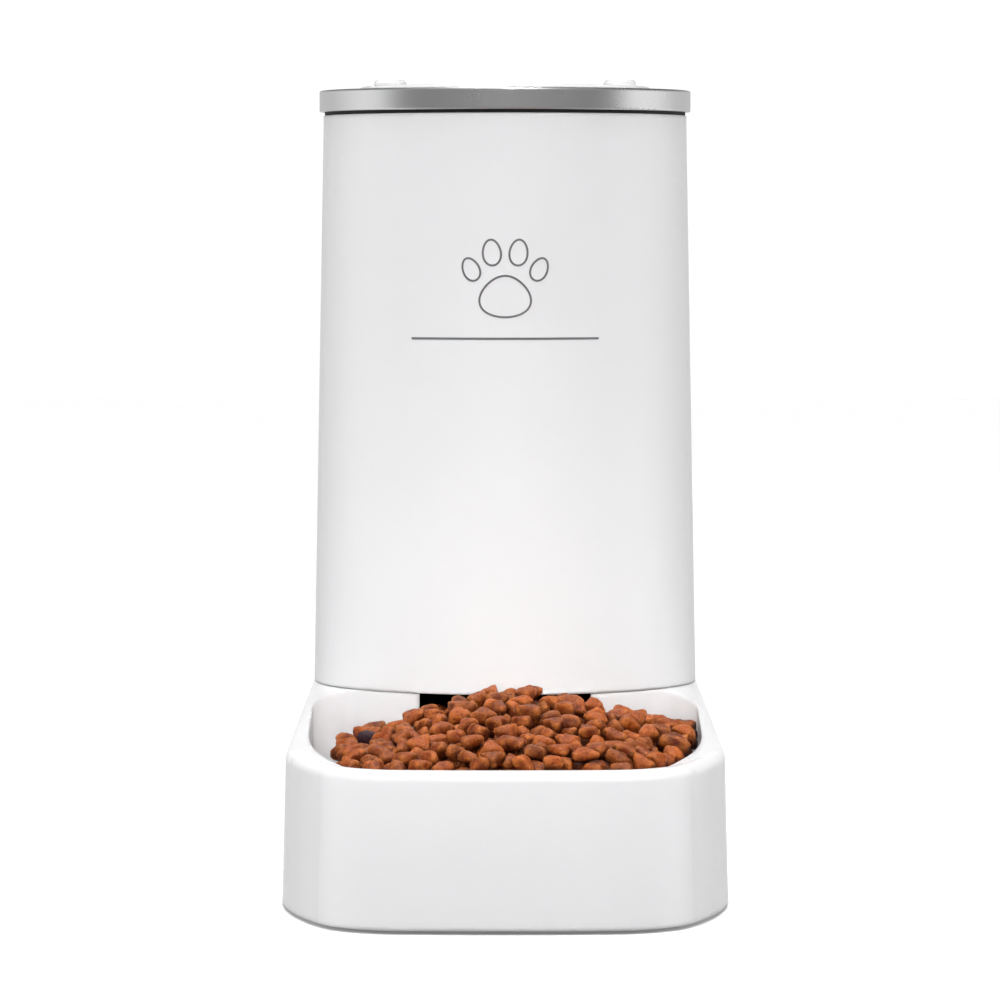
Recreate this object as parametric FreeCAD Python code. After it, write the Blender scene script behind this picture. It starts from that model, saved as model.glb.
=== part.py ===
import FreeCAD, Part
import math
import os

# Gravity pet feeder. Millimetres, +Z up, front towards -Y.
# The origin is the bottom centre of the bounding box; plan outlines are written about the hopper axis.
AXIS_Y = 57.0

# Base: plan outline, a tangent chain of arcs (half side, from the hopper axis forwards)
BASE_HALF = 85.5
SIDE_LINE = 96.7
SIDE_R = 204.6
SIDE_ANGLE = 22.83
CORNER_R = 36.2
FRONT_ANGLE = 4.0
BASE_Z = 1.5
RIM_Z = 60.0
SHOULDER_Z = 57.0
COLLAR_Z = 77.5
WALL = 2.6
DRAFT_PER_MM = 0.0244
RIM_ROUND = 4.0
INNER_RIM_ROUND = 3.4
SHOULDER_ROUND = 6.0

# Bowl cavity
RIM_INSET = 10.2
BOWL_DRAFT_PER_MM = 0.06
BOWL_FLOOR_Z = 18.0
BOWL_FLOOR_ROUND = 7.0
BLEND_R = 10.0
SKIN = 2.4
ABOVE_Z = COLLAR_Z + 5.0

# Collar and outlet
COLLAR_R = 76.4
COLLAR_LINE = 0.4
OUTLET_HALF = 33.3
NOTCH_REAR_FWD = COLLAR_R - 15.0
NOTCH_FRONT_FWD = COLLAR_R + 4.0

# Chute, the dark ramp behind the outlet
CHUTE_WALL = 2.0
CHUTE_R = 73.2
CHUTE_TOP_Z = 68.4
RAMP_LOW_Z = 18.4
RAMP_REAR_Z = 66.0
FLANGE_LOW_Z = 54.0
FLANGE_T = 2.2
FLANGE_R = 79.6
FLANGE_FRONT_FWD = 26.0
CHUTE_SCREW_R = 76.6
CHUTE_SCREWS = (-90.0, -3.0, 183.0)
CHUTE_BOSS_R = 2.8
CHUTE_BOSS_TOP_Z = 74.0
CHUTE_PILOT = 9.0
MOUTH_REAR_FWD = 40.0
BEYOND = 5.0
RAMP_SIDE = 60.0
RAMP_END = 10.0

# Underside
COVER_Z = 2.3
COVER_T = 2.2
COVER_GAP = 0.25
FOOT_R = 7.0
FOOT_SOLE_R = 5.0
FOOT_T = 2.3
FOOT_RECESS_GAP = 0.1
FOOT_SUNK = 1.5
FOOT_TAPER_T = 1.2
FOOT_GLUE = 0.02
FOOT_CUP_WALL = 2.0
FOOT_CUP_H = 1.6
FEET = {"foot_front_left": (-56.0, 138.0), "foot_front_right": (56.0, 138.0),
        "foot_rear_left": (-52.0, -36.0), "foot_rear_right": (52.0, -36.0)}
SCREWS = ((-66.0, 104.0), (66.0, 104.0), (-79.3, 0.0), (79.3, 0.0))
BOSS_R = 3.6
SCREW_R = 1.5
SCREW_HEAD_R = 2.9
SCREW_HEAD_T = 1.7
SCREW_LEN = 11.0
SCREW_HOLE_GAP = 0.35
SCREW_HEAD_GAP = 0.3
SCREW_HEAD_SUNK = 1.2
SCREW_PILOT = 10.0
THREAD_BITE = 0.05
SCREW_SOCKET_R = 1.0
SCREW_SOCKET_DEEP = 1.0
BOSS_TOP_Z = 30.0

# Hopper
BODY_GAP = 0.3
TOWER_BOTTOM_Z = COLLAR_Z + BODY_GAP
TOWER_TOP_Z = 303.0
TOWER_TOP_R = 72.4
TOWER_WALL = 2.3
LIP_HALF = 35.6
LIP_PROUD = 0.5
LIP_H = 0.9
SPIGOT_R = 73.2
SPIGOT_WALL = 2.2
SPIGOT_LOW_Z = 70.0
SPIGOT_GATE_HALF = OUTLET_HALF + 3.0
RING_GATE_FWD = 30.0
SPIGOT_GATE_FWD = 20.0
SPIGOT_ROOT_Z = TOWER_BOTTOM_Z + 3.0
FUNNEL_TOP_Z = 136.0
FUNNEL_LOW_Z = 80.0
FUNNEL_WALL = 2.0
FUNNEL_FIT = 0.05
FUNNEL_RIM_H = 6.0
THROAT_R = 33.0
THROAT_FWD = 30.0

# Lid
LID_R = 74.0
LID_LOW_Z = 304.4
LID_TOP_Z = 312.9
LID_EDGE_ROUND = 0.7
LID_PLATE_T = 2.4
LID_INNER_R = 71.8
PANEL_R = 58.0
PANEL_FLANGE_R = 61.0
PANEL_LOW_Z = 308.2
PANEL_TOP_Z = 314.5
PANEL_WALL = 2.4
GRIP_X = 45.6
GRIP_HALF_W = 6.2
GRIP_HALF_L = 21.0
GRIP_TOP_Z = 316.9
GRIP_ROUND = 1.1
PANEL_ROUND = 1.0
LID_FIT = 0.1
PLUG_R = 69.5
PLUG_WALL = 2.2
PLUG_LOW_Z = 291.0
PLUG_FLANGE_T = 2.0
SEAL_OUT_R = 71.9
SEAL_LOW_Z = TOWER_TOP_Z + BODY_GAP

# Food in the bowl
HEAP_FWD = 86.0
HEAP_TOP_Z = 76.5
HEAP_FALL = 0.25
HEAP_R = 150.0
HEAP_TIP_R = 0.1
HEAP_CLEAR = 0.5
HEAP_REAR_FWD = 52.0
HEAP_JOIN_FWD = COLLAR_R + 8.0


def at(side, fwd, z):
    """Point from its distance to the right of the axis and in front of it."""
    return FreeCAD.Vector(side, AXIS_Y - fwd, z)


def turn(deg):
    """Unit vector at an angle from the right-hand side towards the front."""
    rad = math.radians(deg)
    return math.cos(rad), math.sin(rad)


def arc_edge(centre, radius, deg_a, deg_b, z, mirror=1):
    """Arc about a plan centre between two angles; mirror -1 puts it on the left."""
    points = []
    for deg in (deg_a, (deg_a + deg_b) / 2.0, deg_b):
        c, s = turn(deg)
        points.append(at(mirror * (centre[0] + radius * c), centre[1] + radius * s, z))
    return Part.Arc(*points).toShape()


def chain(inset, blend):
    """Centres and radii of the side, corner and front arcs. blend 1 is the round collar."""
    ca, sa = turn(SIDE_ANGLE)
    cb, sb = turn(90.0 - FRONT_ANGLE)
    corner_x = BASE_HALF - SIDE_R * (1.0 - ca) - CORNER_R * (ca - cb)
    front_r = corner_x / cb
    side_c = (BASE_HALF - SIDE_R, SIDE_LINE)
    corner_c = (side_c[0] + (SIDE_R - CORNER_R) * ca, side_c[1] + (SIDE_R - CORNER_R) * sa)
    front_c = (corner_c[0] + (CORNER_R - front_r) * cb, corner_c[1] + (CORNER_R - front_r) * sb)
    arcs = []
    for centre, radius in ((side_c, SIDE_R), (corner_c, CORNER_R), (front_c, front_r)):
        centre = (centre[0] * (1.0 - blend), centre[1] * (1.0 - blend) + COLLAR_LINE * blend)
        arcs.append((centre, radius * (1.0 - blend) + COLLAR_R * blend - inset))
    half = BASE_HALF * (1.0 - blend) + COLLAR_R * blend - inset
    return half, arcs


def front_edges(arcs, z):
    """Side, corner and front arcs from the right side round to the left side."""
    side, corner, front = arcs
    high = 90.0 - FRONT_ANGLE
    edges = [arc_edge(side[0], side[1], 0.0, SIDE_ANGLE, z),
             arc_edge(corner[0], corner[1], SIDE_ANGLE, high, z),
             arc_edge(front[0], front[1], high, 90.0 + FRONT_ANGLE, z),
             arc_edge(corner[0], corner[1], high, SIDE_ANGLE, z, -1),
             arc_edge(side[0], side[1], SIDE_ANGLE, 0.0, z, -1)]
    return edges


def base_outline(inset, z, blend=0.0):
    """Closed plan outline of the base: half circle at the rear, bowed front."""
    half, arcs = chain(inset, blend)
    line_fwd = arcs[0][0][1]
    edges = [arc_edge((0.0, 0.0), half, -90.0, 0.0, z),
             Part.makeLine(at(half, 0, z), at(half, line_fwd, z))]
    edges += front_edges(arcs, z)
    edges += [Part.makeLine(at(-half, line_fwd, z), at(-half, 0, z)),
              arc_edge((0.0, 0.0), half, 0.0, -90.0, z, -1)]
    return Part.Wire(edges)


def bowl_outline(inset, z, back):
    """Closed plan outline of the bowl, blended into the collar behind it."""
    half, arcs = chain(inset, 0.0)
    collar_r = COLLAR_R + back
    blend_r = BLEND_R - back
    centre_x = half - blend_r
    centre_fwd = math.sqrt((collar_r + blend_r) ** 2 - centre_x ** 2)
    meet = math.degrees(math.atan2(centre_fwd, centre_x))
    centre = (centre_x, centre_fwd)
    edges = [arc_edge((0.0, 0.0), collar_r, 180.0 - meet, meet, z),
             arc_edge(centre, blend_r, 180.0 + meet, 360.0, z),
             Part.makeLine(at(half, centre_fwd, z), at(half, arcs[0][0][1], z))]
    edges += front_edges(arcs, z)
    edges += [Part.makeLine(at(-half, arcs[0][0][1], z), at(-half, centre_fwd, z)),
              arc_edge(centre, blend_r, 360.0, 180.0 + meet, z, -1)]
    return Part.Wire(edges)


def loft(low, high):
    """Solid between two closed outlines, with straight walls."""
    return Part.makeLoft([low, high], True, True)


def prism(wire, height):
    """Closed outline raised straight up."""
    return Part.Face(wire).extrude(FreeCAD.Vector(0, 0, height))


def edges_at(shape, z, tolerance=0.01):
    """Edges that lie flat at a height."""
    picked = []
    for edge in shape.Edges:
        box = edge.BoundBox
        if abs(box.ZMin - z) < tolerance and abs(box.ZMax - z) < tolerance:
            picked.append(edge)
    return picked


def edges_along(shape, wire, tolerance=0.05):
    """Edges of a shape that lie on a wire."""
    picked = []
    for edge in shape.Edges:
        middle = Part.Vertex(edge.valueAt((edge.FirstParameter + edge.LastParameter) / 2.0))
        if middle.distToShape(wire)[0] < tolerance and edge.Vertexes[0].distToShape(wire)[0] < tolerance:
            picked.append(edge)
    return picked


def drafted_block(inset, low_z, high_z):
    """Block inside the base outline, leaning in as it rises."""
    low = base_outline(inset + DRAFT_PER_MM * (low_z - BASE_Z), low_z)
    high = base_outline(inset + DRAFT_PER_MM * (high_z - BASE_Z), high_z)
    return loft(low, high)


def shoulder(inset, low_z, high_z):
    """Shoulder that turns the base outline into the round collar."""
    draft = DRAFT_PER_MM * (SHOULDER_Z - BASE_Z)
    return loft(base_outline(inset + draft, low_z), base_outline(inset, high_z, 1.0))


def bowl_space(grow, floor_z, top_z):
    """Space of the bowl, grown outwards; it leans in towards its floor."""
    low_inset = RIM_INSET - grow + BOWL_DRAFT_PER_MM * (RIM_Z - floor_z)
    lower = loft(bowl_outline(low_inset, floor_z, -grow), bowl_outline(RIM_INSET - grow, RIM_Z, -grow))
    upper = prism(bowl_outline(RIM_INSET - grow, RIM_Z, -grow), top_z - RIM_Z)
    lower = lower.makeFillet(BOWL_FLOOR_ROUND, edges_at(lower, floor_z))
    return lower.fuse(upper)


def cylinder(radius, low_z, high_z, side=0.0, fwd=0.0):
    """Upright cylinder at a plan point."""
    return Part.makeCylinder(radius, high_z - low_z, at(side, fwd, low_z))


def cone(low_r, high_r, low_z, high_z):
    """Upright cone on the hopper axis."""
    return Part.makeCone(low_r, high_r, high_z - low_z, at(0, 0, low_z))


def block(half, rear_fwd, front_fwd, low_z, high_z):
    """Box of a given half width, centred on the middle plane."""
    return Part.makeBox(2 * half, front_fwd - rear_fwd, high_z - low_z, at(-half, front_fwd, low_z))


def outer_form():
    """Outside of the base: the part that carries the collar, and the part with the bowl rim."""
    rear = drafted_block(0.0, BASE_Z, SHOULDER_Z).fuse(shoulder(0.0, SHOULDER_Z, COLLAR_Z))
    rear = rear.removeSplitter()
    rear = rear.makeFillet(SHOULDER_ROUND, edges_at(rear, SHOULDER_Z))
    front = drafted_block(0.0, BASE_Z, RIM_Z)
    front = front.makeFillet(RIM_ROUND, edges_at(front, RIM_Z))
    return rear, front


def base_shell():
    """Moulded base with the bowl, the shoulder, the round collar and the outlet."""
    rear, front = outer_form()
    bowl = bowl_space(0.0, BOWL_FLOOR_Z, ABOVE_Z)
    front = front.cut(bowl)
    front = front.makeFillet(INNER_RIM_ROUND, edges_along(front, bowl_outline(RIM_INSET, RIM_Z, 0.0)))
    outside = rear.fuse(front)
    hollow = drafted_block(WALL, BASE_Z - 1.0, SHOULDER_Z).fuse(shoulder(WALL, SHOULDER_Z, COLLAR_Z))
    hollow = hollow.fuse(prism(base_outline(WALL, COLLAR_Z, 1.0), 2.0))
    skin = bowl_space(SKIN, BOWL_FLOOR_Z - SKIN, ABOVE_Z)
    shell = outside.cut(hollow.cut(skin))
    shell = shell.cut(bowl)
    shell = shell.cut(block(OUTLET_HALF, NOTCH_REAR_FWD, NOTCH_FRONT_FWD, BOWL_FLOOR_Z, ABOVE_Z))
    return shell


def chute_spots():
    """Plan points of the screws that hold the chute."""
    spots = []
    for deg in CHUTE_SCREWS:
        c, s = turn(deg)
        spots.append((CHUTE_SCREW_R * c, CHUTE_SCREW_R * s))
    return spots


def screw_bosses(shell):
    """Hollow posts inside the shell that take the cover and chute screws."""
    inside = drafted_block(WALL / 2.0, COVER_Z, SHOULDER_Z)
    space = bowl_space(SKIN / 2.0, BOWL_FLOOR_Z - SKIN / 2.0, ABOVE_Z)
    low_z = COVER_Z + COVER_T + COVER_GAP
    for x, fwd in SCREWS:
        post = cylinder(BOSS_R, low_z, BOSS_TOP_Z, x, fwd).common(inside).cut(space)
        shell = shell.fuse(post)
        shell = shell.cut(cylinder(SCREW_R - THREAD_BITE, low_z - 1.0, low_z + SCREW_PILOT, x, fwd))
    under = shoulder(WALL / 2.0, SHOULDER_Z, COLLAR_Z).fuse(inside)
    low_z = FLANGE_LOW_Z + FLANGE_T + BODY_GAP
    for x, fwd in chute_spots():
        post = cylinder(CHUTE_BOSS_R, low_z, CHUTE_BOSS_TOP_Z, x, fwd).common(under)
        shell = shell.fuse(post)
        shell = shell.cut(cylinder(SCREW_R - THREAD_BITE, low_z - 1.0, low_z + CHUTE_PILOT, x, fwd))
    return shell


def base_cover():
    """Flat plate that closes the underside, with recesses for the feet and screw heads."""
    plate = prism(base_outline(WALL + COVER_GAP, COVER_Z), COVER_T)
    below_z = COVER_Z - 1.0
    foot_top_z = COVER_Z + FOOT_SUNK
    for x, fwd in FEET.values():
        cup_top_z = COVER_Z + FOOT_T + FOOT_CUP_H
        plate = plate.fuse(cylinder(FOOT_R + FOOT_CUP_WALL, COVER_Z, cup_top_z, x, fwd))
        plate = plate.cut(cylinder(FOOT_R + FOOT_RECESS_GAP, below_z, foot_top_z, x, fwd))
    for x, fwd in SCREWS:
        plate = plate.cut(cylinder(SCREW_R + SCREW_HOLE_GAP, below_z, COVER_Z + BEYOND, x, fwd))
        plate = plate.cut(cylinder(SCREW_HEAD_R + SCREW_HEAD_GAP, below_z, COVER_Z + SCREW_HEAD_SUNK, x, fwd))
    return plate


def foot(x, fwd):
    """Rubber foot with a tapered sole, sunk into the cover."""
    sole = Part.makeCone(FOOT_SOLE_R, FOOT_R, FOOT_TAPER_T, at(x, fwd, 0.0))
    return sole.fuse(cylinder(FOOT_R, FOOT_TAPER_T, COVER_Z + FOOT_SUNK - FOOT_GLUE, x, fwd))


def screw(x, fwd, seat_z):
    """Round-headed screw with its head under a seat."""
    low_z = seat_z - SCREW_HEAD_T
    head = cylinder(SCREW_HEAD_R, low_z, seat_z - 0.1, x, fwd)
    shank = cylinder(SCREW_R - 0.1, low_z, low_z + SCREW_LEN, x, fwd)
    socket = cylinder(SCREW_SOCKET_R, low_z - 0.1, low_z + SCREW_SOCKET_DEEP, x, fwd)
    return head.fuse(shank).cut(socket)


def ramp_solid(drop):
    """Wedge under the sloping surface of the chute, lowered by drop."""
    half = OUTLET_HALF + RAMP_SIDE
    low_z = RAMP_LOW_Z - drop
    front = at(-half, COLLAR_R + RAMP_END, low_z)
    rear_low = at(-half, -CHUTE_R - RAMP_END, low_z)
    rear_high = at(-half, -CHUTE_R - RAMP_END, RAMP_REAR_Z - drop)
    outline = Part.makePolygon([front, rear_low, rear_high, front])
    return Part.Face(outline).extrude(FreeCAD.Vector(2 * half, 0, 0))


def outlet_chute():
    """Ramp inside the collar that leads the food down to the outlet."""
    tub = cylinder(CHUTE_R, RAMP_LOW_Z - CHUTE_WALL, CHUTE_TOP_Z)
    tub = tub.cut(ramp_solid(CHUTE_WALL + 0.001))
    inside = cylinder(CHUTE_R - CHUTE_WALL, RAMP_LOW_Z, CHUTE_TOP_Z + 1.0).cut(ramp_solid(0.0))
    tub = tub.cut(inside)
    mouth = block(OUTLET_HALF, MOUTH_REAR_FWD, COLLAR_R + BEYOND, RAMP_LOW_Z, CHUTE_TOP_Z + 1.0)
    tub = tub.cut(mouth.cut(ramp_solid(0.0)))
    return tub.fuse(chute_flange())


def chute_flange():
    """Flat rim round the back of the chute, drilled for its screws."""
    below_z = FLANGE_LOW_Z - 1.0
    above_z = FLANGE_LOW_Z + FLANGE_T + 1.0
    flange = cylinder(FLANGE_R, FLANGE_LOW_Z, FLANGE_LOW_Z + FLANGE_T)
    flange = flange.cut(cylinder(CHUTE_R - 1.0, below_z, above_z))
    flange = flange.cut(block(FLANGE_R + BEYOND, FLANGE_FRONT_FWD, FLANGE_R + BEYOND, below_z, above_z))
    for x, fwd in chute_spots():
        flange = flange.cut(cylinder(SCREW_R + SCREW_HOLE_GAP, below_z, above_z, x, fwd))
    return flange


def seat_gasket():
    """Soft ring inside the collar that the hopper spigot sits on."""
    below_z = CHUTE_TOP_Z - 1.0
    above_z = SPIGOT_LOW_Z + 1.0
    ring = cylinder(SPIGOT_R - 0.1, CHUTE_TOP_Z + BODY_GAP, SPIGOT_LOW_Z - BODY_GAP)
    ring = ring.cut(cylinder(SPIGOT_R - SPIGOT_WALL, below_z, above_z))
    return ring.cut(block(SPIGOT_GATE_HALF, RING_GATE_FWD, COLLAR_R + BEYOND, below_z, above_z))


def kibble_heap():
    """Food heaped in the bowl and back into the outlet, as one closed solid."""
    bowl = bowl_space(-HEAP_CLEAR, BOWL_FLOOR_Z + HEAP_CLEAR, ABOVE_Z)
    tongue = block(OUTLET_HALF - HEAP_CLEAR, HEAP_REAR_FWD, HEAP_JOIN_FWD, RAMP_LOW_Z + HEAP_CLEAR, COLLAR_Z)
    tongue = tongue.cut(ramp_solid(-HEAP_CLEAR))
    fall = HEAP_R * HEAP_FALL
    pile = Part.makeCone(HEAP_R, HEAP_TIP_R, fall, at(0, HEAP_FWD, HEAP_TOP_Z - fall))
    pile = pile.fuse(cylinder(HEAP_R, 0.0, HEAP_TOP_Z - fall, 0, HEAP_FWD))
    return bowl.fuse(tongue).common(pile).removeSplitter()


def tower_radius(z):
    """Outside radius of the tapering hopper wall."""
    rise = (z - TOWER_BOTTOM_Z) / (TOWER_TOP_Z - TOWER_BOTTOM_Z)
    return COLLAR_R + (TOWER_TOP_R - COLLAR_R) * rise


def hopper_tower():
    """Tapering tube with a locating spigot at the bottom, open at both ends."""
    outside = cone(COLLAR_R, TOWER_TOP_R, TOWER_BOTTOM_Z, TOWER_TOP_Z)
    lip = cylinder(COLLAR_R + LIP_PROUD, TOWER_BOTTOM_Z, TOWER_BOTTOM_Z + LIP_H)
    outside = outside.fuse(lip.common(block(LIP_HALF, MOUTH_REAR_FWD, COLLAR_R + BEYOND, 0.0, TOWER_TOP_Z)))
    spigot = cylinder(SPIGOT_R, SPIGOT_LOW_Z, SPIGOT_ROOT_Z)
    gate = block(SPIGOT_GATE_HALF, SPIGOT_GATE_FWD, COLLAR_R + BEYOND, 0.0, TOWER_BOTTOM_Z)
    bore = cylinder(SPIGOT_R - SPIGOT_WALL, SPIGOT_LOW_Z - 1.0, SPIGOT_ROOT_Z)
    top_r = TOWER_TOP_R - TOWER_WALL
    inside = cone(tower_radius(SPIGOT_ROOT_Z) - TOWER_WALL, top_r, SPIGOT_ROOT_Z, TOWER_TOP_Z)
    over = cylinder(top_r, TOWER_TOP_Z - 0.001, TOWER_TOP_Z + BEYOND)
    hollow = bore.fuse(inside).fuse(over)
    return outside.fuse(spigot.cut(gate)).cut(hollow).removeSplitter()


def funnel_loft(grow, low_z, high_z):
    """Leaning cone from the full bore down to the throat."""
    top_r = tower_radius(FUNNEL_TOP_Z) - TOWER_WALL - FUNNEL_FIT + grow
    throat = Part.Wire(Part.makeCircle(THROAT_R + grow, at(0, THROAT_FWD, low_z)))
    top = Part.Wire(Part.makeCircle(top_r, at(0, 0, high_z)))
    return Part.makeLoft([throat, top], True, True)


def hopper_funnel():
    """Inner funnel that brings the food to the outlet side."""
    body = funnel_loft(0.0, FUNNEL_LOW_Z, FUNNEL_TOP_Z)
    hole = funnel_loft(-FUNNEL_WALL, FUNNEL_LOW_Z, FUNNEL_TOP_Z)
    rim_top_z = FUNNEL_TOP_Z + FUNNEL_RIM_H
    rim = cylinder(tower_radius(rim_top_z) - TOWER_WALL - 2 * FUNNEL_FIT, FUNNEL_TOP_Z, rim_top_z)
    inner_r = tower_radius(FUNNEL_TOP_Z) - TOWER_WALL - FUNNEL_FIT - FUNNEL_WALL
    rim = rim.cut(cylinder(inner_r, FUNNEL_TOP_Z, rim_top_z))
    return body.cut(hole).fuse(rim).removeSplitter()


def lid_shell():
    """Silver cap: a skirt and a flat band around the raised panel."""
    cap = cylinder(LID_R, LID_LOW_Z, LID_TOP_Z)
    cap = cap.makeFillet(LID_EDGE_ROUND, edges_at(cap, LID_TOP_Z) + edges_at(cap, LID_LOW_Z))
    cap = cap.cut(cylinder(LID_INNER_R, LID_LOW_Z - 1.0, LID_TOP_Z - LID_PLATE_T))
    return cap.cut(cylinder(PANEL_R + 2 * LID_FIT, LID_LOW_Z, LID_TOP_Z + 1.0))


def lid_panel():
    """White raised panel with two moulded finger grips, held by a flange under the cap."""
    panel = cylinder(PANEL_R, PANEL_LOW_Z, PANEL_TOP_Z)
    panel = panel.makeFillet(PANEL_ROUND, edges_at(panel, PANEL_TOP_Z))
    panel = panel.fuse(cylinder(PANEL_FLANGE_R, PANEL_LOW_Z, LID_TOP_Z - LID_PLATE_T - LID_FIT))
    panel = panel.cut(cylinder(PANEL_R - PANEL_WALL, PANEL_LOW_Z - 1.0, PANEL_TOP_Z - PANEL_WALL))
    for side in (-1, 1):
        grip = Part.makeBox(2 * GRIP_HALF_W, 2 * GRIP_HALF_L, GRIP_TOP_Z - PANEL_TOP_Z + 1.0,
                            at(side * GRIP_X - GRIP_HALF_W, GRIP_HALF_L, PANEL_TOP_Z - 1.0))
        uprights = [e for e in grip.Edges if e.BoundBox.ZLength > 1.0]
        grip = grip.makeFillet(GRIP_HALF_W - 0.2, uprights)
        grip = grip.makeFillet(GRIP_ROUND, edges_at(grip, GRIP_TOP_Z))
        panel = panel.fuse(grip)
    return panel


def lid_plug():
    """Cup that drops inside the hopper mouth, clamps the seal and closes the lid from below."""
    flange_z = LID_LOW_Z + PLUG_FLANGE_T
    plug = cylinder(LID_INNER_R - LID_FIT, LID_LOW_Z, flange_z)
    plug = plug.fuse(cylinder(PLUG_R, PLUG_LOW_Z, LID_LOW_Z))
    plug = plug.cut(cylinder(PLUG_R - PLUG_WALL, PLUG_LOW_Z - 1.0, LID_LOW_Z))
    post = cylinder(PANEL_FLANGE_R - 0.5, flange_z, PANEL_LOW_Z - 0.05)
    post = post.cut(cylinder(PANEL_R, flange_z, PANEL_LOW_Z))
    return plug.fuse(post)


def lid_seal():
    """Dark gasket between the hopper mouth and the lid."""
    ring = cylinder(SEAL_OUT_R, SEAL_LOW_Z, LID_LOW_Z - 0.02)
    return ring.cut(cylinder(PLUG_R + 0.05, SEAL_LOW_Z - 1.0, LID_LOW_Z + 1.0))


def save(shape, name):
    """Write one node, and say how many solids it holds."""
    if not shape.isValid():
        print("invalid", name)
    shape.exportStep("parts/%s.step" % name)
    print(name, len(shape.Solids), round(shape.Volume), shape.BoundBox)


os.makedirs("parts", exist_ok=True)
save(screw_bosses(base_shell()), "base_shell")
save(base_cover(), "base_cover")
for foot_name, spot in FEET.items():
    save(foot(*spot), foot_name)
cover_seat_z = COVER_Z + SCREW_HEAD_SUNK
save(Part.makeCompound([screw(x, fwd, cover_seat_z) for x, fwd in SCREWS]), "cover_screws")
save(Part.makeCompound([screw(x, fwd, FLANGE_LOW_Z) for x, fwd in chute_spots()]), "chute_screws")
save(outlet_chute(), "outlet_chute")
save(seat_gasket(), "seat_gasket")
save(kibble_heap(), "kibble_heap")
save(hopper_tower(), "hopper_tower")
save(hopper_funnel(), "hopper_funnel")
save(lid_shell(), "lid_shell")
save(lid_panel(), "lid_panel")
save(lid_plug(), "lid_plug")
save(lid_seal(), "lid_seal")
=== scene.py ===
import math
import random

import bmesh
import bpy
import numpy as np
from mathutils import Matrix, Vector, noise


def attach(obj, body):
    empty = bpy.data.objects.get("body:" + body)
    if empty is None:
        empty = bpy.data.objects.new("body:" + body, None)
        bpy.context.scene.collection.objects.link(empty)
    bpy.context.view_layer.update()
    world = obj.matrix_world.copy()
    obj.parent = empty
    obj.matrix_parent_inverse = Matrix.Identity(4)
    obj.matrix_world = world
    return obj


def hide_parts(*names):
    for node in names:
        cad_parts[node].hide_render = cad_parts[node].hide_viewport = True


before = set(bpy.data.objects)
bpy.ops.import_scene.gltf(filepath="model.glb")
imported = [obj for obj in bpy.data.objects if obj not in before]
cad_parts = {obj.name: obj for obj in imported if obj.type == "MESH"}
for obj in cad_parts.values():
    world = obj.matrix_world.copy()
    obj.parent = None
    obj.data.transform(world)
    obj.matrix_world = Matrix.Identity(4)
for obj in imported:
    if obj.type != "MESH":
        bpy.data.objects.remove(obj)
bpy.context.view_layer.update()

# Outer wall of the hopper, which the print and the food follow. Lengths are in metres.
AXIS_Y = 0.057
COLLAR_R = 0.0764
TOWER_BOTTOM_Z = 0.0778
TOWER_TOP_Z = 0.303
TOWER_TOP_R = 0.0724


# ---------------------------------------------------------------- node trees
# Places of the colour sockets in the Mix node's lists.
MIX_FACTOR = 0
MIX_A = 6
MIX_B = 7
MIX_RESULT = 2

EDGE_GAIN = 6.0


class Tree:
    """Small helper around one node tree."""

    def __init__(self, tree):
        self.tree = tree
        tree.nodes.clear()

    def add(self, kind, **settings):
        """New node with the given settings."""
        node = self.tree.nodes.new(kind)
        for key, value in settings.items():
            setattr(node, key, value)
        return node

    def link(self, a, b):
        """Link an output to an input."""
        self.tree.links.new(a, b)

    def fill(self, socket, value):
        """Give an input a number or a colour, or link it to an output."""
        if isinstance(value, (int, float)):
            socket.default_value = value
        elif isinstance(value, tuple):
            socket.default_value = (*value, 1.0)
        else:
            self.link(value, socket)

    def ramp(self, fac, stops):
        """Colour ramp; each stop is a place with a grey level or a colour."""
        node = self.add("ShaderNodeValToRGB")
        elements = node.color_ramp.elements
        while len(elements) < len(stops):
            elements.new(0.5)
        for element, (place, value) in zip(elements, stops):
            element.position = place
            element.color = (*value, 1.0) if isinstance(value, tuple) else (value, value, value, 1.0)
        self.link(fac, node.inputs["Fac"])
        return node.outputs["Color"]

    def math(self, operation, a, b, clamp=False):
        """Result of a Math node."""
        node = self.add("ShaderNodeMath", operation=operation, use_clamp=clamp)
        self.fill(node.inputs[0], a)
        self.fill(node.inputs[1], b)
        return node.outputs["Value"]

    def mix(self, fac, a, b):
        """Colour between a and b."""
        node = self.add("ShaderNodeMix", data_type="RGBA")
        self.fill(node.inputs[MIX_FACTOR], fac)
        self.fill(node.inputs[MIX_A], a)
        self.fill(node.inputs[MIX_B], b)
        return node.outputs[MIX_RESULT]


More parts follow.
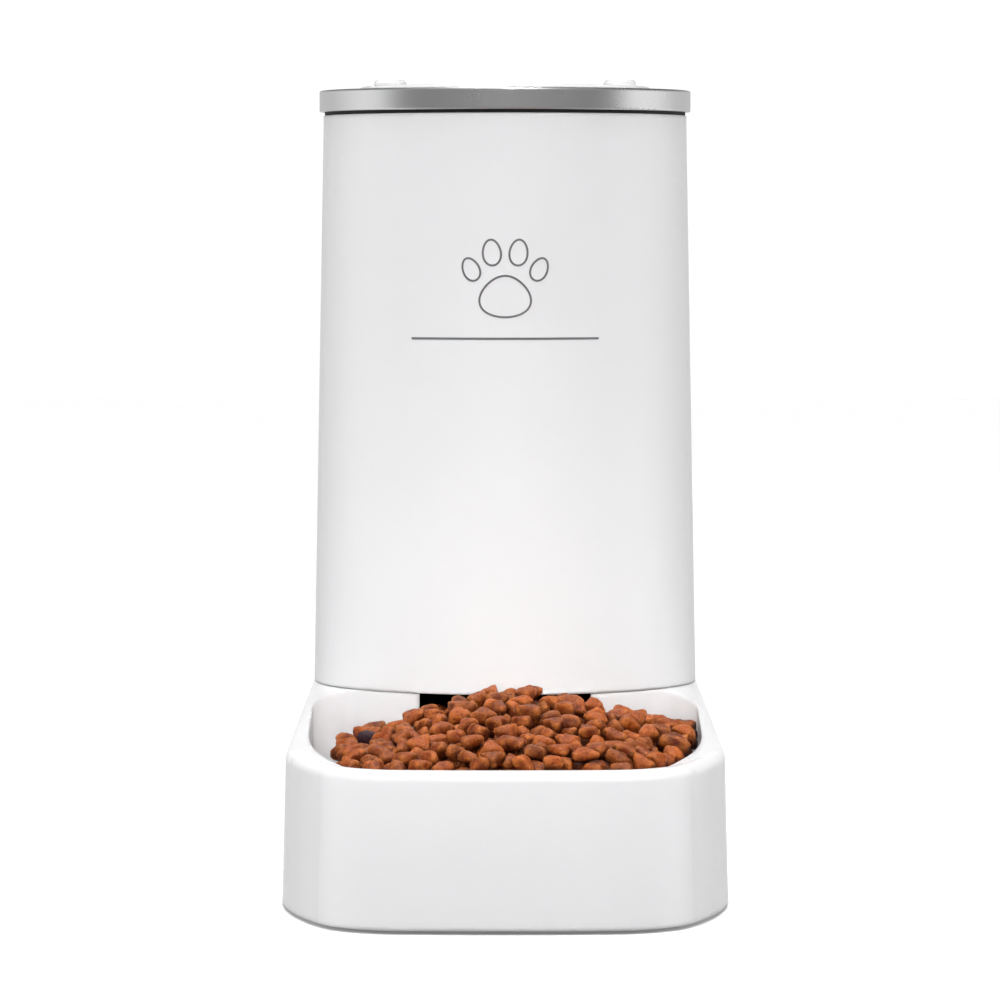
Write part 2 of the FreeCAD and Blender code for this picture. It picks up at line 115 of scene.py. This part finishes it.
class Nodes(Tree):
    """Node tree of a new material, around one Principled shader."""

    def __init__(self, name):
        self.material = bpy.data.materials.new(name)
        self.material.use_nodes = True
        super().__init__(self.material.node_tree)
        output = self.add("ShaderNodeOutputMaterial")
        self.shader = self.add("ShaderNodeBsdfPrincipled")
        self.link(self.shader.outputs["BSDF"], output.inputs["Surface"])

    def noise(self, scale, detail=3.0, roughness=0.5):
        """Noise in the object's own coordinates."""
        node = self.add("ShaderNodeTexNoise")
        node.inputs["Scale"].default_value = scale
        node.inputs["Detail"].default_value = detail
        node.inputs["Roughness"].default_value = roughness
        self.link(self.add("ShaderNodeTexCoord").outputs["Object"], node.inputs["Vector"])
        return node.outputs["Fac"]

    def edge(self, radius):
        """Factor that is high on edges, from the bevel node's turned normal, and that normal."""
        bevel = self.add("ShaderNodeBevel", samples=4)
        bevel.inputs["Radius"].default_value = radius
        geometry = self.add("ShaderNodeNewGeometry")
        dot = self.add("ShaderNodeVectorMath", operation="DOT_PRODUCT")
        self.link(bevel.outputs["Normal"], dot.inputs[0])
        self.link(geometry.outputs["Normal"], dot.inputs[1])
        turned = self.math("SUBTRACT", 1.0, dot.outputs["Value"])
        return self.math("MULTIPLY", turned, EDGE_GAIN, clamp=True), bevel.outputs["Normal"]

    def bump(self, height, strength, distance, normal=None):
        """Bump on the shader's normal, over a rounded normal where one is given."""
        node = self.add("ShaderNodeBump")
        node.inputs["Strength"].default_value = strength
        node.inputs["Distance"].default_value = distance
        self.link(height, node.inputs["Height"])
        if normal is not None:
            self.link(normal, node.inputs["Normal"])
        self.feed("Normal", node.outputs["Normal"])

    def feed(self, name, output):
        """Link an output to one of the shader's inputs."""
        self.link(output, self.shader.inputs[name])

    def set(self, **values):
        """Set constants on the shader's inputs."""
        for key, value in values.items():
            self.shader.inputs[key.replace("_", " ")].default_value = value


# ---------------------------------------------------------------- materials
def lighter(colour, factor, lift=0.0):
    """A colour multiplied and lifted."""
    return tuple(factor * c + lift for c in colour)


def moulded_plastic(name, colour, dark, rough_low, rough_high, coat=0.0, edge_radius=0.0012, bump=0.05):
    """Moulded plastic: faint mottling, fine orange peel and worn, slightly duller edges."""
    n = Nodes(name)
    edge, rounded = n.edge(edge_radius)
    mottle = n.noise(38.0, 4.0)
    grime = n.noise(9.0, 5.0, 0.6)
    base = n.mix(n.math("MULTIPLY", mottle, 0.35), colour, dark)
    wear = n.math("MULTIPLY", edge, n.math("MULTIPLY", grime, 0.5))
    n.feed("Base Color", n.mix(wear, base, lighter(colour, 0.94)))
    dull = n.math("ADD", n.math("MULTIPLY", grime, 0.8), n.math("MULTIPLY", edge, 0.3))
    n.feed("Roughness", n.ramp(dull, ((0.3, rough_low), (0.8, rough_high))))
    peel = n.math("ADD", n.noise(900.0, 2.0), n.math("MULTIPLY", n.noise(120.0, 2.0), 0.8))
    n.bump(peel, bump, 0.0003, rounded)
    n.set(Coat_Weight=coat, Coat_Roughness=0.08, IOR=1.47)
    return n.material


def silver_paint(name):
    """Satin silver finish with a fine flake, cloudy tone and brighter edges."""
    n = Nodes(name)
    edge, rounded = n.edge(0.0008)
    flake = n.noise(2600.0, 1.0)
    cloud = n.noise(30.0, 4.0)
    base = n.mix(n.math("MULTIPLY", cloud, 0.5), (0.72, 0.72, 0.725), (0.64, 0.64, 0.645))
    base = n.mix(n.math("MULTIPLY", flake, 0.25), base, (0.80, 0.80, 0.80))
    base = n.mix(n.math("MULTIPLY", edge, 0.4), base, (0.85, 0.85, 0.85))
    n.feed("Base Color", base)
    satin = n.math("ADD", cloud, n.math("MULTIPLY", flake, 0.3))
    n.feed("Roughness", n.ramp(satin, ((0.3, 0.24), (0.9, 0.34))))
    n.bump(flake, 0.08, 0.0001, rounded)
    n.set(Metallic=0.95)
    return n.material


def rubber(name, colour):
    """Dull rubber with dust on it and paler edges."""
    n = Nodes(name)
    edge, rounded = n.edge(0.0006)
    grain = n.noise(1500.0, 3.0)
    dust = n.noise(60.0, 4.0)
    base = n.mix(n.math("MULTIPLY", dust, 0.4), colour, lighter(colour, 1.6, 0.01))
    base = n.mix(n.math("MULTIPLY", edge, 0.4), base, lighter(colour, 2.0, 0.02))
    n.feed("Base Color", base)
    n.feed("Roughness", n.ramp(dust, ((0.2, 0.62), (0.8, 0.8))))
    n.bump(grain, 0.25, 0.0002, rounded)
    return n.material


def steel(name):
    """Bright steel with fine scratches and polished edges."""
    n = Nodes(name)
    edge, rounded = n.edge(0.0003)
    scratch = n.noise(700.0, 4.0)
    base = n.mix(n.math("MULTIPLY", scratch, 0.5), (0.58, 0.57, 0.55), (0.40, 0.39, 0.38))
    base = n.mix(n.math("MULTIPLY", edge, 0.5), base, (0.75, 0.74, 0.72))
    n.feed("Base Color", base)
    n.feed("Roughness", n.ramp(scratch, ((0.2, 0.25), (0.8, 0.45))))
    n.bump(scratch, 0.15, 0.0001, rounded)
    n.set(Metallic=1.0)
    return n.material


def kibble_material(name):
    """Baked dry food: colour by piece, paler crests as a painted highlight, dark pores, and painted shade
    darkening the hollows between pieces.
    """
    n = Nodes(name)
    tint = n.add("ShaderNodeAttribute", attribute_name="tint").outputs["Fac"]
    fine = n.noise(950.0, 3.0, 0.6)
    patch = n.noise(230.0, 3.0, 0.55)
    piece = n.ramp(tint, ((0.0, (0.030, 0.010, 0.014)), (0.06, (0.060, 0.006, 0.001)),
                          (0.35, (0.120, 0.013, 0.002)), (0.7, (0.20, 0.027, 0.003)),
                          (1.0, (0.30, 0.056, 0.006))))
    base = n.mix(n.ramp(patch, ((0.40, 0.0), (0.72, 0.6))), piece, (0.38, 0.090, 0.014))
    # Painted highlight: crests that stick out are made paler, as where light catches them.
    pointiness = n.add("ShaderNodeNewGeometry").outputs["Pointiness"]
    base = n.mix(n.ramp(pointiness, ((0.505, 0.0), (0.60, 0.55))), base, (0.54, 0.17, 0.035))
    base = n.mix(n.ramp(fine, ((0.34, 0.8), (0.46, 0.0))), base, (0.09, 0.018, 0.005))
    base = n.mix(n.math("LESS_THAN", tint, 0.03), base, (0.026, 0.010, 0.015))
    # Painted shade: ambient occlusion darkens the food's colour in the hollows between pieces.
    painted_shade_ao = n.add("ShaderNodeAmbientOcclusion", samples=6)
    painted_shade_ao.inputs["Distance"].default_value = 0.007
    unshaded_share = n.ramp(painted_shade_ao.outputs["AO"], ((0.22, 0.0), (0.72, 1.0)))
    n.feed("Base Color", n.mix(unshaded_share, (0.020, 0.002, 0.001), base))
    n.feed("Roughness", n.ramp(fine, ((0.3, 0.62), (0.8, 0.38))))
    crumb = n.math("ADD", n.math("MULTIPLY", fine, 0.5), n.math("MULTIPLY", patch, 0.9))
    n.bump(crumb, 0.9, 0.0008)
    n.set(Specular_IOR_Level=0.3)
    return n.material


def painted_shade_core_look(name):
    """Painted shade: a dark, crumb-textured layer under the loose pieces, standing in for the shade in the
    gaps between them.
    """
    n = Nodes(name)
    crumb = n.noise(260.0, 4.0)
    n.feed("Base Color", n.ramp(crumb, ((0.3, (0.02, 0.007, 0.003)), (0.8, (0.07, 0.022, 0.008)))))
    n.bump(crumb, 0.8, 0.001)
    n.set(Roughness=0.85)
    return n.material


def floor_look(name):
    """Pale, even studio floor."""
    n = Nodes(name)
    tone = n.noise(3.0, 2.0)
    n.feed("Base Color", n.mix(n.math("MULTIPLY", tone, 0.05), (0.93, 0.93, 0.93), (0.9, 0.9, 0.9)))
    n.set(Roughness=0.9)
    return n.material


white_material = moulded_plastic("white_gloss", (0.80, 0.80, 0.805), (0.77, 0.77, 0.775), 0.20, 0.30,
                                 coat=0.25, edge_radius=0.0025)
black_material = moulded_plastic("black_matt", (0.006, 0.006, 0.006), (0.012, 0.012, 0.012), 0.5, 0.65)
grey_material = moulded_plastic("grey_matt", (0.45, 0.45, 0.46), (0.40, 0.40, 0.41), 0.45, 0.6, bump=0.15)
print_material = moulded_plastic("print_grey", (0.16, 0.16, 0.165), (0.13, 0.13, 0.135), 0.4, 0.5)
silver_material = silver_paint("lid_silver")
rubber_material = rubber("foot_rubber_dark", (0.03, 0.03, 0.03))
seal_material = rubber("seal_rubber_dark", (0.008, 0.008, 0.008))
steel_material = steel("screw_steel_bright")
food_material = kibble_material("dry_food")
shade_core_material = painted_shade_core_look("food_core_dark")

CAD_MATERIALS = {
    "base_shell": white_material,
    "base_cover": grey_material,
    "foot_front_left": rubber_material,
    "foot_front_right": rubber_material,
    "foot_rear_left": rubber_material,
    "foot_rear_right": rubber_material,
    "cover_screws": steel_material,
    "chute_screws": steel_material,
    "outlet_chute": black_material,
    "seat_gasket": seal_material,
    "hopper_tower": white_material,
    "hopper_funnel": black_material,
    "lid_shell": silver_material,
    "lid_panel": white_material,
    "lid_plug": grey_material,
    "lid_seal": seal_material,
}


def dress_cad():
    """Give every CAD node that stays visible its material."""
    for node, material in CAD_MATERIALS.items():
        obj = bpy.data.objects[node]
        obj.data.materials.clear()
        obj.data.materials.append(material)


def place_object(name, data):
    """New object of the scene."""
    obj = bpy.data.objects.new(name, data)
    bpy.context.scene.collection.objects.link(obj)
    return obj


def smooth_object(name, mesh, material):
    """New object with a smooth mesh of one material."""
    mesh.materials.append(material)
    mesh.polygons.foreach_set("use_smooth", [True] * len(mesh.polygons))
    mesh.update()
    return place_object(name, mesh)


def bmesh_object(name, bm, material):
    """New smooth object from a bmesh, which is freed."""
    mesh = bpy.data.meshes.new(name)
    bm.to_mesh(mesh)
    bm.free()
    return smooth_object(name, mesh, material)


# ---------------------------------------------------------------- dry food
FOOD_SEED = 4021
VARIANTS = 16
MOST_PIECES = 1000
MOST_MISSES = 1500
PIECES_PER_OBJECT = 140

# The heap's top surface: a blunt peak with its own slope to each side.
HEAP_PEAK = Vector((0.001, AXIS_Y - 0.088))
HEAP_TOP = 0.0826
HEAP_BLUNT = 0.0018
SLOPE_RIGHT = 0.232
SLOPE_LEFT = 0.33
SLOPE_REAR = 0.30
SLOPE_FRONT = 0.205

# The height grid over the bowl.
GRID = 0.001
GRID_X0 = -0.080
GRID_Y0 = -0.136
GRID_NX = 160
GRID_NY = 150
FAR = 9.0

# Where food may lie, measured forwards from the hopper axis.
NO_FOOD, OPEN_FOOD, LOW_FOOD = 0, 1, 2
COLLAR_GAP = 0.0004
OUTLET_HALF = 0.0325
OUTLET_REAR = 0.054
FOOD_FRONT = 0.1885
FOOD_LEFT = -0.0665
WALL_INSET = 0.0108
BASE_HALF = 0.0855
SIDE_CENTRE = (-0.1191, 0.0967)
SIDE_R = 0.2046
SIDE_SWEEP = math.radians(22.83)
CORNER_CENTRE = (0.03612, 0.16204)
CORNER_R = 0.0362

# How the pieces are set down.
LOW_TOP = 0.0770
NO_CEILING = 0.2
LOOSE_DEPTH = 0.0175
CELLS_DRAWN = 6
LEAST_DEFICIT = 0.0022
MOST_OVER = 0.0031
BITE = 0.0004
CORE_STEP = 2
CORE_BOTTOM = 0.026

# The one nearly black piece: its place, and how much being sunk counts against a piece.
DARK_SPOT = (-0.048, -0.050)
DARK_MARGIN = 0.002
DARK_SUNK_WEIGHT = 40.0


def food_surface(x, y):
    """Height of the top of the heaped food."""
    side = (x - HEAP_PEAK.x) * (SLOPE_RIGHT if x > HEAP_PEAK.x else SLOPE_LEFT)
    along = (y - HEAP_PEAK.y) * (SLOPE_REAR if y > HEAP_PEAK.y else SLOPE_FRONT)
    return HEAP_TOP - math.sqrt(side * side + along * along + HEAP_BLUNT ** 2)


def bowl_half_width(fwd, inset):
    """Half width of the bowl at a distance in front of the hopper axis."""
    if fwd <= SIDE_CENTRE[1]:
        return BASE_HALF - inset
    side_radius = SIDE_R - inset
    angle = math.asin(min(1.0, (fwd - SIDE_CENTRE[1]) / side_radius))
    if angle <= SIDE_SWEEP:
        return SIDE_CENTRE[0] + side_radius * math.cos(angle)
    corner_radius = CORNER_R - inset
    rise = (fwd - CORNER_CENTRE[1]) / corner_radius
    if rise >= 1.0:
        return -1.0
    return CORNER_CENTRE[0] + corner_radius * math.sqrt(1.0 - rise * rise)


def food_allowed(x, y):
    """Whether food may lie at a plan point; LOW_FOOD is under the hopper, where it stays low."""
    fwd = AXIS_Y - y
    if math.hypot(x, fwd) < COLLAR_R + COLLAR_GAP:
        return LOW_FOOD if abs(x) < OUTLET_HALF and fwd > OUTLET_REAR else NO_FOOD
    if fwd > FOOD_FRONT or x < FOOD_LEFT or abs(x) > bowl_half_width(fwd, WALL_INSET):
        return NO_FOOD
    return OPEN_FOOD


def rounded_triangle(angle):
    """Radius of a triangle with blunt corners, about 1 on its flats."""
    a = abs(math.cos(0.75 * angle)) ** 9
    b = abs(math.sin(0.75 * angle)) ** 9
    return (a + b) ** (-1.0 / 4.6) * 0.87


def kibble_variant(rng):
    """Points of one lumpy pillow-shaped piece, and its triangles."""
    bm = bmesh.new()
    bmesh.ops.create_icosphere(bm, subdivisions=3, radius=1.0)
    wide = rng.uniform(0.0035, 0.0044)
    thick = rng.uniform(0.0025, 0.0032)
    triangle = rng.choice((1.0, 1.0, 0.75, 0.4))
    oval_share = rng.uniform(-0.10, 0.10)
    notch = rng.choice((0.0, 0.0, 0.14, 0.20))
    pinch = rng.uniform(0.65, 0.90)
    offset = Vector((rng.uniform(-50, 50), rng.uniform(-50, 50), rng.uniform(-50, 50)))
    for vert in bm.verts:
        d = vert.co.copy()
        angle = math.atan2(d.y, d.x)
        flat = math.hypot(d.x, d.y)
        lobe = 1.0 + triangle * (rounded_triangle(angle) - 1.0) + oval_share * math.cos(2 * angle + 0.6)
        lobe -= notch * math.exp(-((angle - math.pi / 3) / 0.30) ** 2)
        radius = wide * lobe * flat ** pinch
        height = thick * math.copysign(abs(d.z) ** 0.82, d.z) * (1.0 - 0.12 * d.x)
        place = Vector((radius * math.cos(angle), radius * math.sin(angle), height))
        lump = noise.noise(d * 1.2 + offset) * 0.0007 + noise.noise(d * 3.0 + offset) * 0.00042
        vert.co = place + d * lump
    points = np.array([v.co[:] for v in bm.verts])
    faces = np.array([[v.index for v in f.verts] for f in bm.faces])
    bm.free()
    return points, faces


def random_pose(rng):
    """Matrix that turns and scales a piece; most pieces lie fairly flat."""
    tilt = abs(rng.gauss(0.0, 0.55))
    if rng.random() < 0.3:
        tilt = rng.uniform(0.8, 1.5)
    turn = Matrix.Rotation(rng.uniform(0, 2 * math.pi), 3, "Z")
    towards = rng.uniform(0, 6.283)
    lean = Matrix.Rotation(tilt, 3, Vector((math.cos(towards), math.sin(towards), 0)))
    spin = Matrix.Rotation(rng.uniform(0, 2 * math.pi), 3, "Z")
    size = rng.uniform(0.9, 1.1)
    return np.array(turn @ lean @ spin) * size


class Heap:
    """Height grid on which the pieces are set down one by one."""

    def __init__(self):
        self.xs = GRID_X0 + GRID * (np.arange(GRID_NX) + 0.5)
        self.ys = GRID_Y0 + GRID * (np.arange(GRID_NY) + 0.5)
        self.allowed = np.array([[food_allowed(x, y) for y in self.ys] for x in self.xs])
        surface = np.array([[food_surface(x, y) for y in self.ys] for x in self.xs])
        self.ceiling = np.where(self.allowed == LOW_FOOD, LOW_TOP, NO_CEILING)
        self.target = np.minimum(surface, self.ceiling)
        self.core = self.target - LOOSE_DEPTH
        self.heights = self.core.copy()
        self.open_cells = np.argwhere(self.allowed != NO_FOOD)

    def neediest_cell(self, rng):
        """The cell furthest below its target height out of a few drawn at random."""
        best = None
        for _ in range(CELLS_DRAWN):
            i, j = self.open_cells[rng.randrange(len(self.open_cells))]
            deficit = self.target[i, j] - self.heights[i, j]
            if best is None or deficit > best[0]:
                best = (deficit, i, j)
        return best

    def settle(self, cloud, x, y):
        """Height at which a piece rests at (x, y), or None where it doesn't fit."""
        ci = np.floor((cloud[:, 0] + x - GRID_X0) / GRID).astype(int)
        cj = np.floor((cloud[:, 1] + y - GRID_Y0) / GRID).astype(int)
        if ci.min() < 0 or cj.min() < 0 or ci.max() >= GRID_NX or cj.max() >= GRID_NY:
            return None
        if (self.allowed[ci, cj] == NO_FOOD).any():
            return None
        low = np.full((GRID_NX, GRID_NY), FAR)
        high = np.full((GRID_NX, GRID_NY), -FAR)
        np.minimum.at(low, (ci, cj), cloud[:, 2])
        np.maximum.at(high, (ci, cj), cloud[:, 2])
        touched = low < FAR
        rest = (self.heights[touched] - low[touched]).max() - BITE
        top = high[touched] + rest
        over = (top - self.target[touched]).max()
        if over > MOST_OVER or (top > self.ceiling[touched]).any():
            return None
        self.heights[touched] = np.maximum(self.heights[touched], top)
        return rest


def make_food():
    """Set down pieces until the heap has its shape; each has points, triangles and a tint."""
    rng = random.Random(FOOD_SEED)
    variants = [kibble_variant(rng) for _ in range(VARIANTS)]
    heap = Heap()
    placed = []
    misses = 0
    while misses < MOST_MISSES and len(placed) < MOST_PIECES:
        deficit, i, j = heap.neediest_cell(rng)
        if deficit < LEAST_DEFICIT:
            misses += 1
            continue
        points, faces = variants[rng.randrange(len(variants))]
        cloud = points @ random_pose(rng).T
        x = heap.xs[i] + rng.uniform(-0.4, 0.4) * GRID
        y = heap.ys[j] + rng.uniform(-0.4, 0.4) * GRID
        rest = heap.settle(cloud, x, y)
        if rest is None:
            misses += 1
            continue
        placed.append((cloud + np.array([x, y, rest]), faces, rng.random() * 0.93 + 0.07))
        misses = 0
    return placed, heap


def join_pieces(name, pieces):
    """One object from several pieces, with each piece's tint on its points."""
    points = []
    faces = []
    tints = []
    count = 0
    for cloud, triangles, tint in pieces:
        points.append(cloud)
        faces.append(triangles + count)
        tints.append(np.full(len(cloud), tint))
        count += len(cloud)
    mesh = bpy.data.meshes.new(name)
    mesh.from_pydata(np.concatenate(points).tolist(), [], np.concatenate(faces).tolist())
    mesh.attributes.new("tint", "FLOAT", "POINT").data.foreach_set("value", np.concatenate(tints))
    return smooth_object(name, mesh, food_material)


def food_core(heap):
    """Body of the heap under the loose pieces, coloured dark as painted shade in the gaps between them."""
    bm = bmesh.new()
    corners = {}

    def corner(i, j):
        if (i, j) not in corners:
            place = (heap.xs[i] - GRID / 2, heap.ys[j] - GRID / 2, float(heap.core[i, j]))
            corners[(i, j)] = bm.verts.new(place)
        return corners[(i, j)]

    for i in range(0, GRID_NX - CORE_STEP, CORE_STEP):
        for j in range(0, GRID_NY - CORE_STEP, CORE_STEP):
            k, m = i + CORE_STEP, j + CORE_STEP
            if (heap.allowed[i:k + 1, j:m + 1] != NO_FOOD).all():
                bm.faces.new((corner(i, j), corner(k, j), corner(k, m), corner(i, m)))
    rim = [e for e in bm.edges if e.is_boundary]
    skirt = bmesh.ops.extrude_edge_only(bm, edges=rim)["geom"]
    for vert in (g for g in skirt if isinstance(g, bmesh.types.BMVert)):
        vert.co.z = CORE_BOTTOM
    return bmesh_object("food_core", bm, shade_core_material)


def distance_from_dark_spot(cloud):
    """How far a piece is from the place of the dark one, with a penalty if it is sunk."""
    x, y = cloud.mean(axis=0)[:2]
    sunk = max(0.0, food_surface(x, y) + DARK_MARGIN - cloud[:, 2].max())
    return (x - DARK_SPOT[0]) ** 2 + (y - DARK_SPOT[1]) ** 2 + DARK_SUNK_WEIGHT * sunk * sunk


def build_food():
    """Loose pieces over a core coloured dark as painted shade, in place of the plain CAD heap."""
    placed, heap = make_food()
    print("pieces of food:", len(placed))
    dark = min(range(len(placed)), key=lambda k: distance_from_dark_spot(placed[k][0]))
    placed[dark] = (placed[dark][0], placed[dark][1], 0.0)
    objects = []
    for first in range(0, len(placed), PIECES_PER_OBJECT):
        name = "food_%d" % (first // PIECES_PER_OBJECT + 1)
        objects.append(join_pieces(name, placed[first:first + PIECES_PER_OBJECT]))
    objects.append(food_core(heap))
    for obj in objects:
        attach(obj, "base")
        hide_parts("kibble_heap")


# ---------------------------------------------------------------- printed mark on the hopper
PRINT_PROUD = 0.00006
MARK_Z = 0.2385
MARK_LINE = 0.0008
RULE_Z = 0.2157
RULE_LENGTH = 0.076
RULE_LINE = 0.0009
RULE_STEPS = 60
OVAL_STEPS = 56


def tower_point(u, z):
    """Point just off the hopper wall, u metres round from the front."""
    rise = (z - TOWER_BOTTOM_Z) / (TOWER_TOP_Z - TOWER_BOTTOM_Z)
    radius = COLLAR_R + (TOWER_TOP_R - COLLAR_R) * rise + PRINT_PROUD
    angle = u / radius
    return (radius * math.sin(angle), AXIS_Y - radius * math.cos(angle), z)


def stroke(bm, path, width, closed):
    """Printed line of even width along a path of (u, z) points."""
    count = len(path)
    left = []
    right = []
    for k, (u, z) in enumerate(path):
        before = path[k - 1] if k > 0 or closed else path[k]
        after = path[(k + 1) % count] if k < count - 1 or closed else path[k]
        du, dz = after[0] - before[0], after[1] - before[1]
        size = math.hypot(du, dz)
        nu, nz = -dz / size * width / 2, du / size * width / 2
        left.append(bm.verts.new(tower_point(u + nu, z + nz)))
        right.append(bm.verts.new(tower_point(u - nu, z - nz)))
    for k in range(count if closed else count - 1):
        m = (k + 1) % count
        bm.faces.new((left[k], right[k], right[m], left[m]))


def oval(u0, z0, half_u, half_z, lean, squeeze):
    """Closed oval path, leaning by an angle, narrower at its top by squeeze."""
    path = []
    for k in range(OVAL_STEPS):
        t = 2 * math.pi * k / OVAL_STEPS
        a = half_u * math.cos(t) * (1.0 - squeeze * math.sin(t))
        b = half_z * math.sin(t)
        along = a * math.cos(lean) - b * math.sin(lean)
        up = a * math.sin(lean) + b * math.cos(lean)
        path.append((u0 + along, z0 + up))
    return path


def printed_mark():
    """Generic paw print in thin outline, with a plain rule under it."""
    bm = bmesh.new()
    stroke(bm, oval(0.0, MARK_Z - 0.0065, 0.0098, 0.0080, 0.0, 0.22), MARK_LINE, True)
    for side in (-1, 1):
        stroke(bm, oval(side * 0.0052, MARK_Z + 0.0105, 0.0035, 0.0050, -side * 0.10, 0.1), MARK_LINE, True)
        stroke(bm, oval(side * 0.0133, MARK_Z + 0.0040, 0.0032, 0.0046, -side * 0.45, 0.1), MARK_LINE, True)
    rule = [(-RULE_LENGTH / 2 + RULE_LENGTH * k / RULE_STEPS, RULE_Z) for k in range(RULE_STEPS + 1)]
    stroke(bm, rule, RULE_LINE, False)
    mark = bmesh_object("printed_mark", bm, print_material)
    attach(mark, "hopper")


# ---------------------------------------------------------------- floor, lights and camera
FLOOR_HALF = 6.0

# The world's brightness round the horizon, from the front (0) to the rear (1), in a low band and
# above it, and the heights between which the one turns into the other.
WORLD_STRENGTH = 1.3
LOW_BAND = ((0.0, 0.23), (0.37, 0.14), (0.47, 0.85), (0.60, 0.80), (0.72, 0.50), (0.93, 0.50),
            (0.965, 0.80), (1.0, 0.80))
HIGH_BAND = ((0.0, 0.40), (0.35, 0.32), (0.5, 0.10), (1.0, 0.10))
BAND_TOP = (0.12, 0.30)

FILL_DISTANCE = 2.5
FILL_Z = 0.65
FILL_TARGET = (0.0, 0.0, 0.26)
FILL_HEIGHT = 0.5

CAMERA_PLACE = (-0.002, -2.160, 0.2611)
CAMERA_DOWN_DEG = 2.88
CAMERA_LENS = 199.5
CAMERA_SENSOR = 36.0


def floor_piece():
    """Floor that shows the shadow but throws no light on the part."""
    bm = bmesh.new()
    bmesh.ops.create_grid(bm, x_segments=2, y_segments=2, size=FLOOR_HALF)
    floor = bmesh_object("studio_floor", bm, floor_look("studio_floor"))
    floor.visible_glossy = False
    floor.visible_diffuse = False


def studio_world():
    """Soft white studio: a low band that differs round the horizon, and a bright front ceiling."""
    world = bpy.data.worlds.new("studio")
    world.use_nodes = True
    n = Tree(world.node_tree)
    axes = n.add("ShaderNodeSeparateXYZ")
    n.link(n.add("ShaderNodeTexCoord").outputs["Generated"], axes.inputs[0])
    x, y, z = axes.outputs
    turn = n.math("ARCTAN2", x, n.math("MULTIPLY", y, -1.0))
    around = n.math("DIVIDE", n.math("ABSOLUTE", turn, 0.0), math.pi)
    share = n.ramp(z, ((BAND_TOP[0], 0.0), (BAND_TOP[1], 1.0)))
    background = n.add("ShaderNodeBackground")
    background.inputs["Strength"].default_value = WORLD_STRENGTH
    n.link(n.mix(share, n.ramp(around, LOW_BAND), n.ramp(around, HIGH_BAND)), background.inputs["Color"])
    n.link(background.outputs[0], n.add("ShaderNodeOutputWorld").inputs["Surface"])
    bpy.context.scene.world = world


def sun(name, strength, spread_deg, tilt_deg):
    """Very wide soft light from above, leaning towards the front by tilt."""
    data = bpy.data.lights.new(name, "SUN")
    data.energy = strength
    data.angle = math.radians(spread_deg)
    place_object(name, data).rotation_euler = (math.radians(tilt_deg), 0.0, 0.0)


def area_light(name, place, target, size_x, size_y, power, spread_deg=180.0):
    """Soft light aimed at a target, which adds no highlight of its own."""
    data = bpy.data.lights.new(name, "AREA")
    data.shape = "RECTANGLE"
    data.size = size_x
    data.size_y = size_y
    data.energy = power
    data.spread = math.radians(spread_deg)
    obj = place_object(name, data)
    obj.location = place
    obj.rotation_euler = (Vector(target) - Vector(place)).to_track_quat("-Z", "Y").to_euler()
    obj.visible_glossy = False


def soft_fill(name, azimuth_deg, width, power):
    """Large soft light standing round the part, at an angle from the front."""
    azimuth = math.radians(azimuth_deg)
    place = (FILL_DISTANCE * math.sin(azimuth), -FILL_DISTANCE * math.cos(azimuth), FILL_Z)
    area_light(name, place, FILL_TARGET, width, FILL_HEIGHT, power)


def lights():
    """Two wide suns, three fills round the front, and two narrow lights for bowl and hopper."""
    sun("overhead", 2.3, 30.0, 2.0)
    sun("high_front", 0.4, 50.0, 42.0)
    soft_fill("front_fill", 0.0, 0.8, 7.0)
    soft_fill("left_fill", -60.0, 0.7, 17.0)
    soft_fill("right_fill", 56.0, 0.7, 14.5)
    area_light("bowl_light", (0.0, -1.15, 1.15), (0.0, -0.03, 0.070), 0.5, 0.16, 0.21, spread_deg=13.0)
    area_light("upper_light", (0.0, -1.60, 1.00), (0.0, -0.01, 0.325), 0.5, 0.10, 0.045, spread_deg=9.0)


def camera():
    """Long lens a little above the rim, looking slightly down."""
    data = bpy.data.cameras.new("camera")
    data.lens = CAMERA_LENS
    data.sensor_width = CAMERA_SENSOR
    obj = place_object("camera", data)
    obj.location = CAMERA_PLACE
    obj.rotation_euler = (math.radians(90.0 - CAMERA_DOWN_DEG), 0.0, 0.0)
    bpy.context.scene.camera = obj


dress_cad()
build_food()
printed_mark()
bpy.context.scene.view_settings.view_transform = "Standard"
floor_piece()
studio_world()
lights()
camera()
